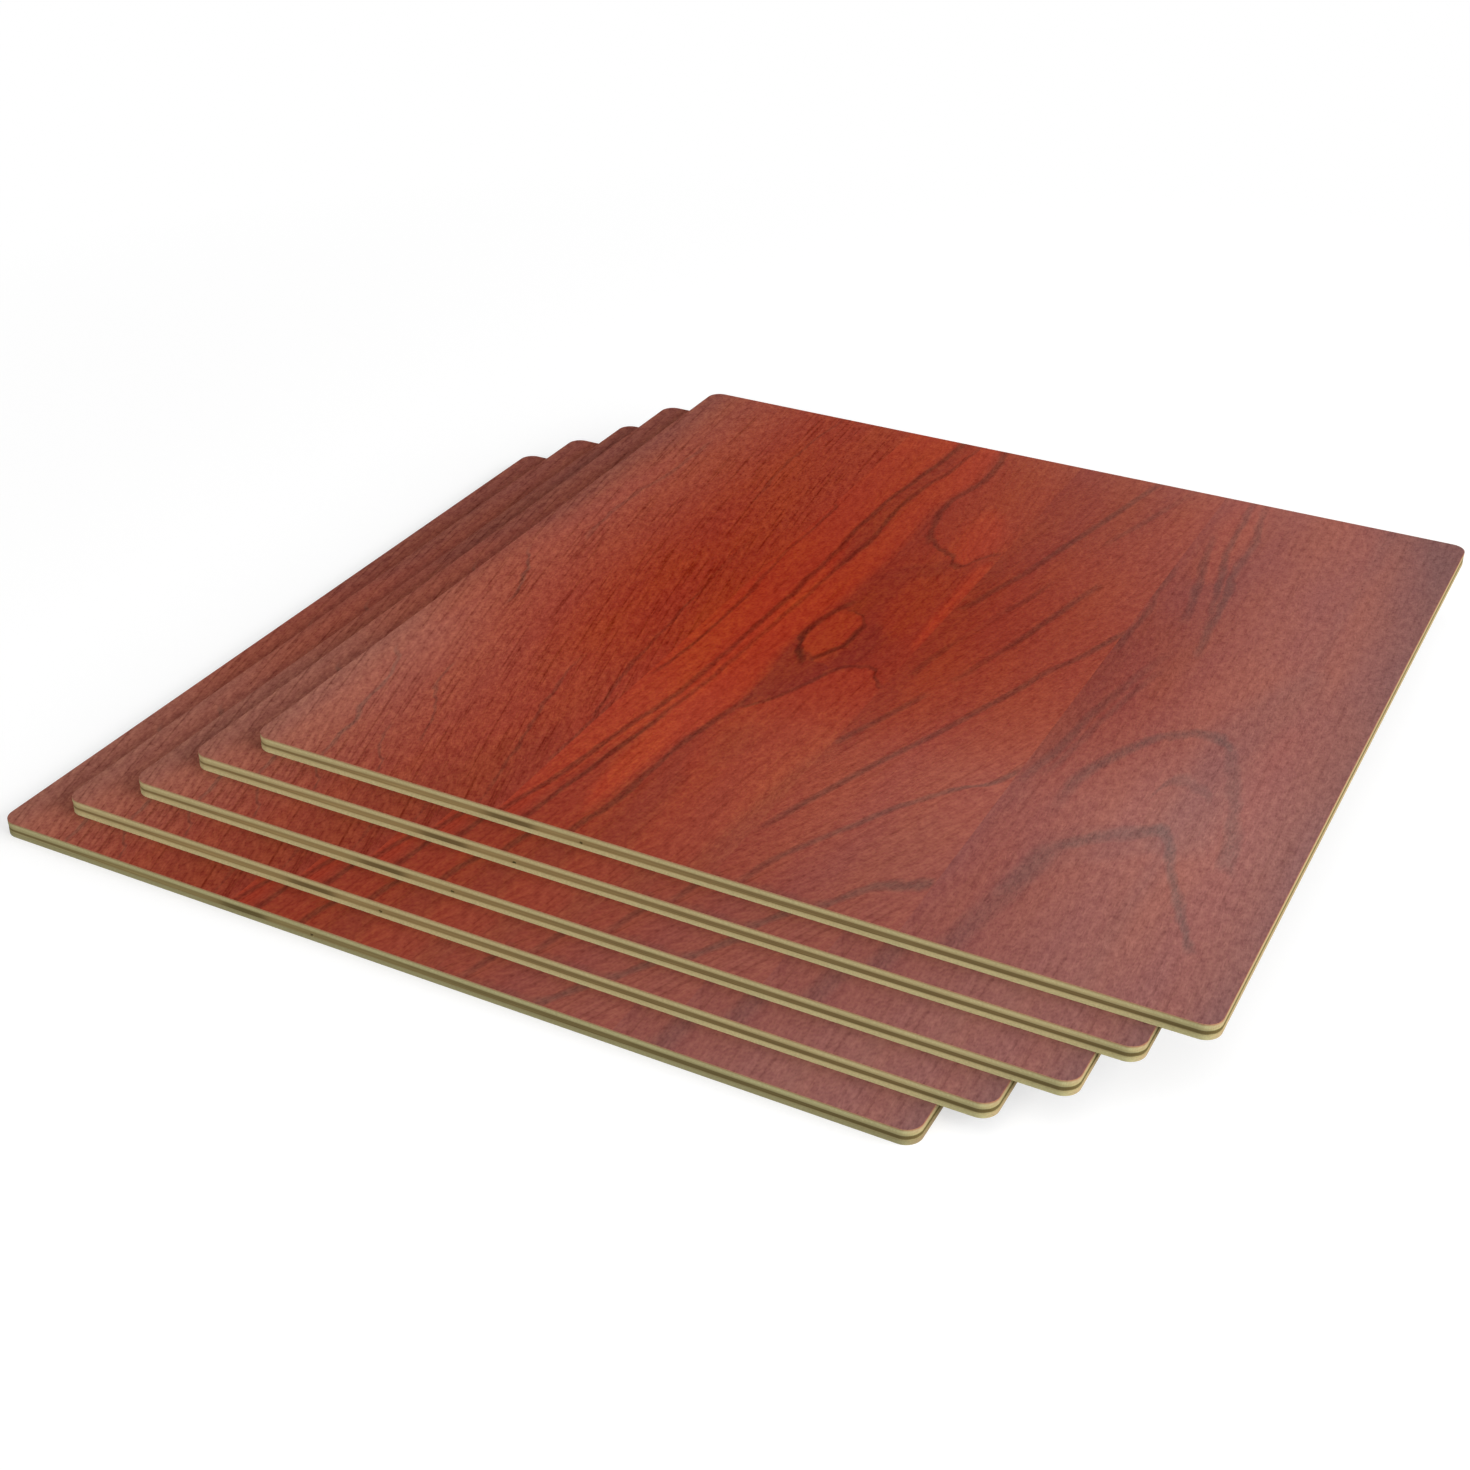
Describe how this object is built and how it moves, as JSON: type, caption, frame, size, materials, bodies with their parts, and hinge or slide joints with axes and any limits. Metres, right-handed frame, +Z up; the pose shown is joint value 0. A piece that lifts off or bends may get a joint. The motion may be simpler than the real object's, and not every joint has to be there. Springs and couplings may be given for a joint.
{
  "type": "stack of plywood sheets",
  "caption": "Stepped stack of square plywood sheets with rounded corners, layered edges and a red-brown wood-grain face, for cutting, facing and craft work.",
  "frame": {"origin": "on the floor, under the middle of the whole stack's bounding box", "axes": "+X along the sheets' front edges to the right, +Y to the rear along the grain of the faces, +Z up through the thickness of the sheets"},
  "size_m": [0.3592, 0.3498, 0.025],
  "materials": {
    "stained_face": "red-brown stained wood grain under a satin lacquer, with bare tan edges",
    "cross_grain_core": "bare brown cross-grain veneer, sawn edge",
    "bare_veneer": "bare tan veneer, sanded"
  },
  "bodies": {
    "root": {"sheet_1_back_ply": "bare_veneer", "sheet_1_core_ply": "cross_grain_core", "sheet_1_face_ply": "stained_face", "sheet_2_back_ply": "bare_veneer", "sheet_2_core_ply": "cross_grain_core", "sheet_2_face_ply": "stained_face", "sheet_3_back_ply": "bare_veneer", "sheet_3_core_ply": "cross_grain_core", "sheet_3_face_ply": "stained_face", "sheet_4_back_ply": "bare_veneer", "sheet_4_core_ply": "cross_grain_core", "sheet_4_face_ply": "stained_face", "sheet_5_back_ply": "bare_veneer", "sheet_5_core_ply": "cross_grain_core", "sheet_5_face_ply": "stained_face"}
  },
  "joints": []
}
